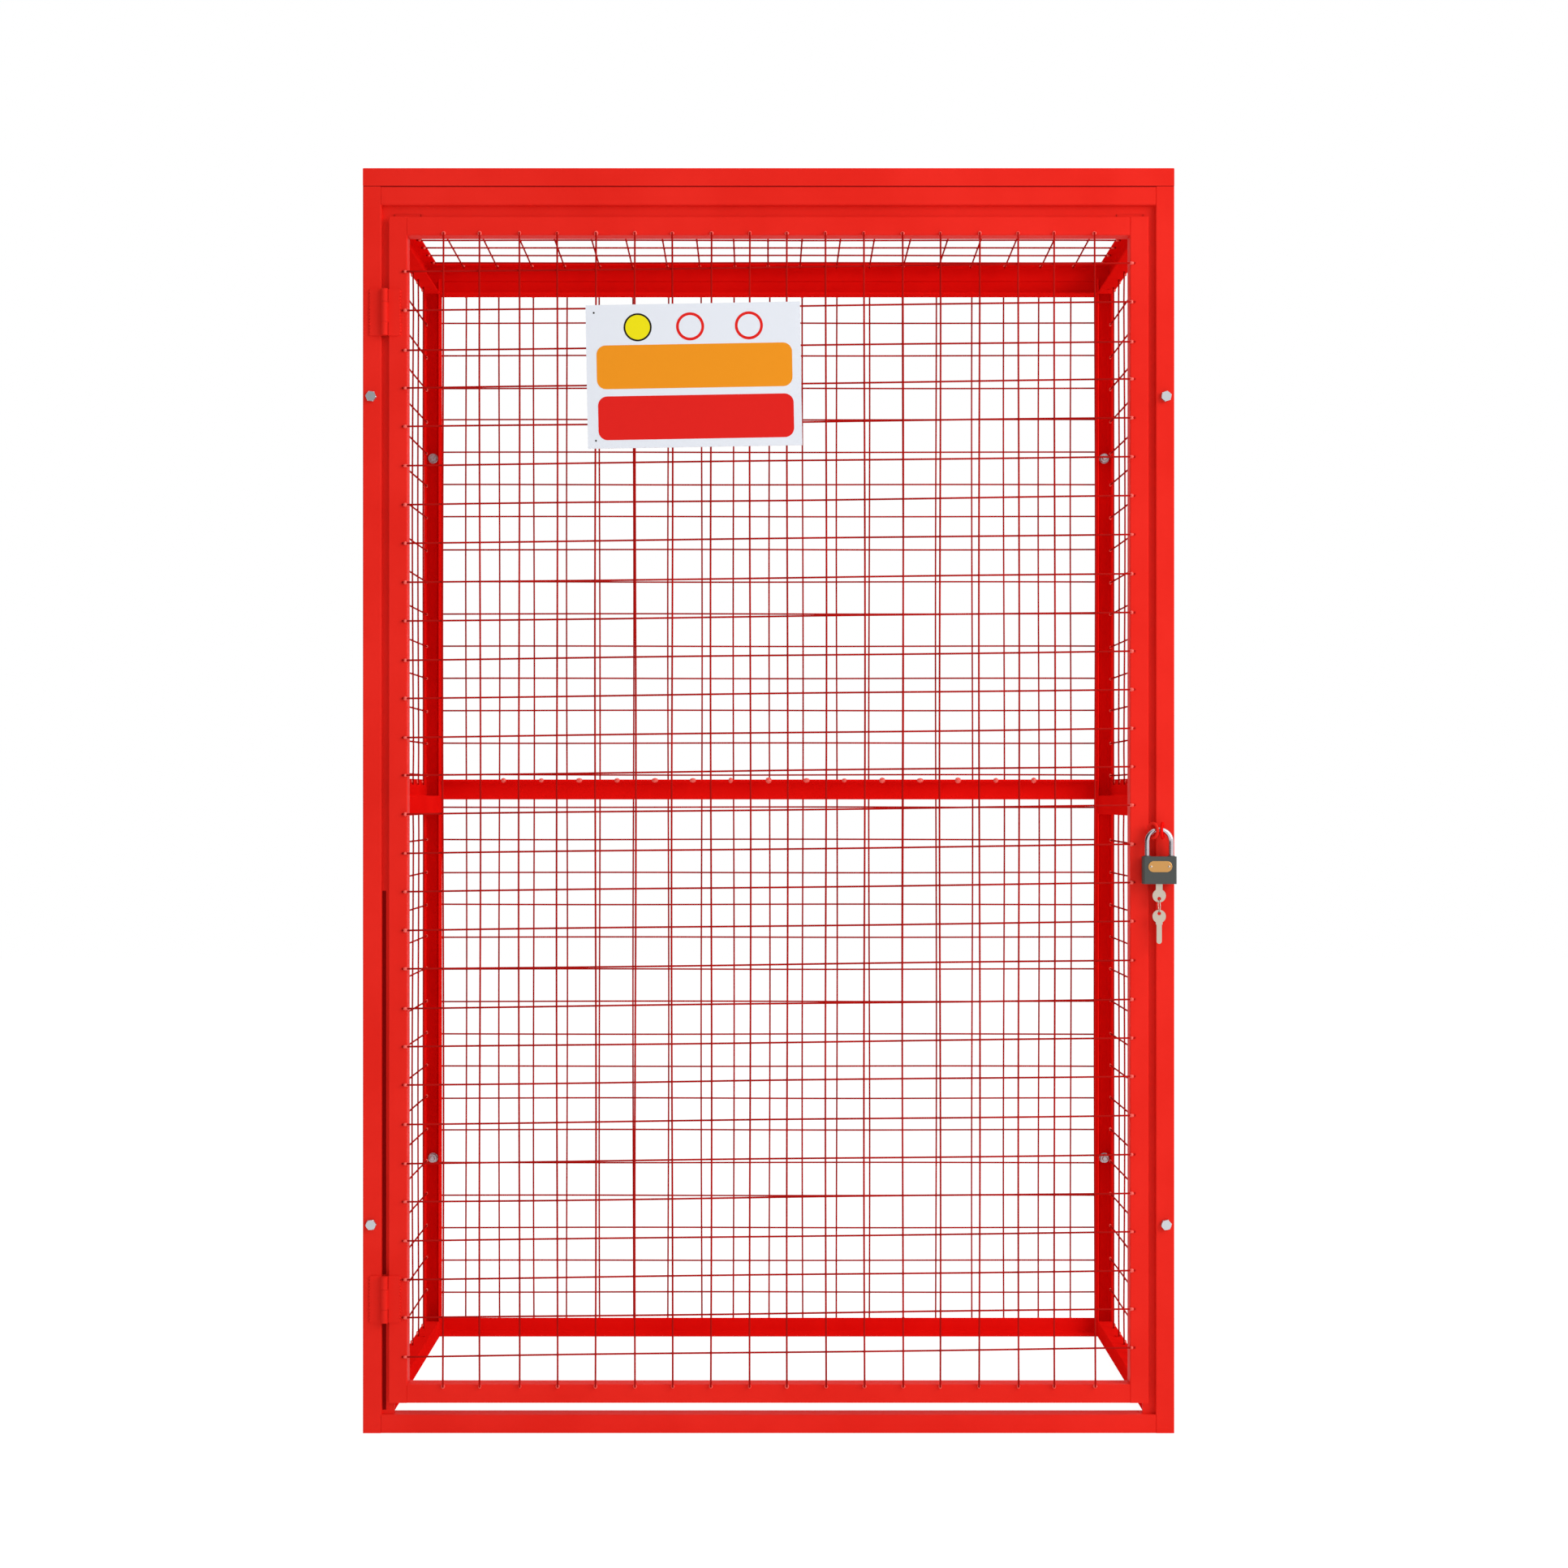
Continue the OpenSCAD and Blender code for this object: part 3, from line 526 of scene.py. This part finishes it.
thickness = sign["printThickness"]
band = roundedOutline(sign["bandHalfWidth"], sign["bandHalfHeight"], sign["bandCorner"])
signPrint("sign_orange_band", band, (1 * mm, sign["orangeUp"]), signOrange, thickness)
signPrint("sign_red_band", band, (2 * mm, sign["redUp"]), signRed, thickness)
for label, x, outer, inner, rim in (("left", -75 * mm, signBlack, signYellow, 2.4 * mm),
                                    ("middle", -4 * mm, signRed, signWhite, 3.8 * mm),
                                    ("right", 75.5 * mm, signRed, signWhite, 3.8 * mm)):
    signPrint("sign_disc_" + label, circleOutline(sign["discRadius"]), (x, sign["discUp"]), outer,
              thickness)
    signPrint("sign_centre_" + label, circleOutline(sign["discRadius"] - rim), (x, sign["discUp"]), inner,
              thickness * 1.6)

for word, side in (("upper", 1), ("lower", -1)):
    signPrint("sign_hole_" + word, circleOutline(sign["holeRadius"], 20),
              (-sign["holeAcross"], side * sign["holeUp"]), signBlack, thickness)

print("stage: padlock")
lockLow, lockHigh = (np.array(v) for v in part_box("padlock_body"))
lockMiddle = (lockLow + lockHigh) / 2
labelFront = lockLow[1] - padlock["labelThickness"]


def standingPlate(outline, centre, front, back):
    # Plate in the XZ plane: its front edge is the outline times 0.975, and its back is closed
    rings = []
    for y, share in ((back, 1.0), (front + 0.15 * mm, 1.0), (front, 0.975)):
        rings.append(np.stack([centre[0] + outline[:, 0] * share, np.full(len(outline), y),
                               centre[1] + outline[:, 1] * share], 1))
    points, faces = stackRings(rings)
    return points, [face[::-1] for face in faces]


oval = roundedOutline(padlock["labelHalfWidth"], padlock["labelHalfHeight"],
                      padlock["labelHalfHeight"], 10)
labelPlace = (lockMiddle[0], lockMiddle[2] + padlock["labelUp"])
points, faces = standingPlate(oval, labelPlace, labelFront, lockLow[1] + 0.1 * mm)
meshPiece("padlock_label", points, faces, brassPlate, "padlock", smooth=False)
rivets = []
for side in (-1, 1):
    rivetPlace = np.array([labelPlace[0] + side * padlock["rivetAcross"], labelFront, labelPlace[1]])
    rivets.append(ellipsoid(rivetPlace, [padlock["rivetRadius"], padlock["rivetRadius"], 0.7 * mm],
                            (axisX, axisZ, axisY), 16, 6))
points, faces = joinArrays(rivets)
meshPiece("padlock_rivets", points, faces, nickelPlate, "padlock")


def ringBand(centre, radius, thick, sides=32, around=8):
    # Torus about Z: centre + (radius + thick cos p) outwards and thick sin p up
    points, faces = [], []
    for i in range(sides):
        t = 2 * math.pi * i / sides
        for j in range(around):
            p = 2 * math.pi * j / around
            reach = radius + thick * math.cos(p)
            points.append([centre[0] + reach * math.cos(t), centre[1] + reach * math.sin(t),
                           centre[2] + thick * math.sin(p)])
            i2, j2 = (i + 1) % sides, (j + 1) % around
            faces.append([i * around + j, i2 * around + j, i2 * around + j2, i * around + j2])
    return np.array(points), faces


collars = []
for side in (-1, 1):
    place = (lockMiddle[0] + side * padlock["legAcross"], lockMiddle[1], lockHigh[2])
    collars.append(ringBand(place, padlock["legRadius"] + padlock["collarRadius"],
                            padlock["collarRadius"]))
points, faces = joinArrays(collars)
meshPiece("padlock_collars", points, faces, lockEnamel, "padlock")

print("stage: floor, lights and camera")


def stageMaterial(name, diffuseShare):
    # White to the camera and to mirror rays, mixed with a lit white that keeps the shadow
    material, tree, output = newMaterial(name)
    lit = addNode(tree, "ShaderNodeBsdfDiffuse", {"Color": linearColour("#FFFFFF")})
    glow = addNode(tree, "ShaderNodeEmission", {"Color": linearColour("#FFFFFF"), "Strength": 1.2})
    seen = addNode(tree, "ShaderNodeMixShader", {"Fac": diffuseShare})
    tree.links.new(glow.outputs["Emission"], seen.inputs[1])
    tree.links.new(lit.outputs["BSDF"], seen.inputs[2])
    rays = addNode(tree, "ShaderNodeLightPath")
    either = addNode(tree, "ShaderNodeMath", {"operation": "MAXIMUM"})
    tree.links.new(rays.outputs["Is Camera Ray"], either.inputs[0])
    tree.links.new(rays.outputs["Is Glossy Ray"], either.inputs[1])
    every = addNode(tree, "ShaderNodeMath", {"operation": "MAXIMUM"})
    tree.links.new(either.outputs["Value"], every.inputs[0])
    tree.links.new(rays.outputs["Is Transmission Ray"], every.inputs[1])
    final = addNode(tree, "ShaderNodeMixShader")
    tree.links.new(every.outputs["Value"], final.inputs["Fac"])
    tree.links.new(lit.outputs["BSDF"], final.inputs[1])
    tree.links.new(seen.outputs["Shader"], final.inputs[2])
    tree.links.new(final.outputs["Shader"], output.inputs["Surface"])
    return material


floorHalf = 9.0
floorData = bpy.data.meshes.new("floor")
floorData.from_pydata([(-floorHalf, -floorHalf, 0), (floorHalf, -floorHalf, 0),
                       (floorHalf, floorHalf, 0), (-floorHalf, floorHalf, 0)], [], [(0, 1, 2, 3)])
floorData.materials.append(stageMaterial("white studio floor", 0.25))
floor = bpy.data.objects.new("floor", floorData)
bpy.context.collection.objects.link(floor)

world = bpy.data.worlds.new("white studio")
world.use_nodes = True
worldTree = world.node_tree
worldTree.nodes.clear()
rays = addNode(worldTree, "ShaderNodeLightPath")
seenAny = addNode(worldTree, "ShaderNodeMath", {"operation": "MAXIMUM"})
worldTree.links.new(rays.outputs["Is Camera Ray"], seenAny.inputs[0])
worldTree.links.new(rays.outputs["Is Transmission Ray"], seenAny.inputs[1])
dim = addNode(worldTree, "ShaderNodeBackground", {"Color": linearColour("#FFFFFF"), "Strength": 0.56})
bright = addNode(worldTree, "ShaderNodeBackground", {"Color": linearColour("#FFFFFF"), "Strength": 1.0})
# Mirror rays see the white backdrop behind the cage and to its right, and a dim studio to the left
heading = addNode(worldTree, "ShaderNodeTexCoord")
towardsWhite = addNode(worldTree, "ShaderNodeVectorMath",
                       {"operation": "DOT_PRODUCT", 1: (0.85, 0.5, 0.15)})
worldTree.links.new(heading.outputs["Generated"], towardsWhite.inputs[0])
studio = addNode(worldTree, "ShaderNodeMapRange",
                 {"From Min": -0.68, "From Max": -0.3, "To Min": 0.03, "To Max": 1.0})
worldTree.links.new(towardsWhite.outputs["Value"], studio.inputs["Value"])
mirrored = addNode(worldTree, "ShaderNodeBackground", {"Color": linearColour("#FFFFFF")})
worldTree.links.new(studio.outputs["Result"], mirrored.inputs["Strength"])
lit = addNode(worldTree, "ShaderNodeMixShader")
worldTree.links.new(rays.outputs["Is Glossy Ray"], lit.inputs["Fac"])
worldTree.links.new(dim.outputs["Background"], lit.inputs[1])
worldTree.links.new(mirrored.outputs["Background"], lit.inputs[2])
blend = addNode(worldTree, "ShaderNodeMixShader")
worldTree.links.new(seenAny.outputs["Value"], blend.inputs["Fac"])
worldTree.links.new(lit.outputs["Shader"], blend.inputs[1])
worldTree.links.new(bright.outputs["Background"], blend.inputs[2])
worldOutput = addNode(worldTree, "ShaderNodeOutputWorld")
worldTree.links.new(blend.outputs["Shader"], worldOutput.inputs["Surface"])
bpy.context.scene.world = world


def areaLight(name, place, target, size, power):  # square lamp that faces a target
    data = bpy.data.lights.new(name, "AREA")
    data.size = size
    data.energy = power
    lamp = bpy.data.objects.new(name, data)
    bpy.context.collection.objects.link(lamp)
    lamp.location = place
    lamp.rotation_mode = "QUATERNION"
    lamp.rotation_quaternion = (Vector(target) - Vector(place)).to_track_quat("-Z", "Y")
    return lamp


areaLight("key", (3.6, -2.6, 2.8), (0.1, 0, 1.0), 2.8, 112)
areaLight("front", (0.1, -4.3, 0.85), (0, 0, 0.9), 1.8, 6)
areaLight("top", (0, 0.4, 4.2), (0, 0, 0.8), 2.2, 35)

camera = {"distance": 3522 * mm, "height": 864.6 * mm, "lens": 54.58, "shiftX": 0.00983,
          "shiftY": 0.00725}
cameraData = bpy.data.cameras.new("camera")
cameraData.lens = camera["lens"]
cameraData.sensor_width = 36
cameraData.shift_x = camera["shiftX"]
cameraData.shift_y = camera["shiftY"]
cameraObject = bpy.data.objects.new("camera", cameraData)
cameraObject.location = (0, -camera["distance"], camera["height"])
cameraObject.rotation_euler = (math.pi / 2, 0, 0)
bpy.context.collection.objects.link(cameraObject)
scene = bpy.context.scene
scene.camera = cameraObject
scene.view_settings.view_transform = "Standard"

print("stage: finish")
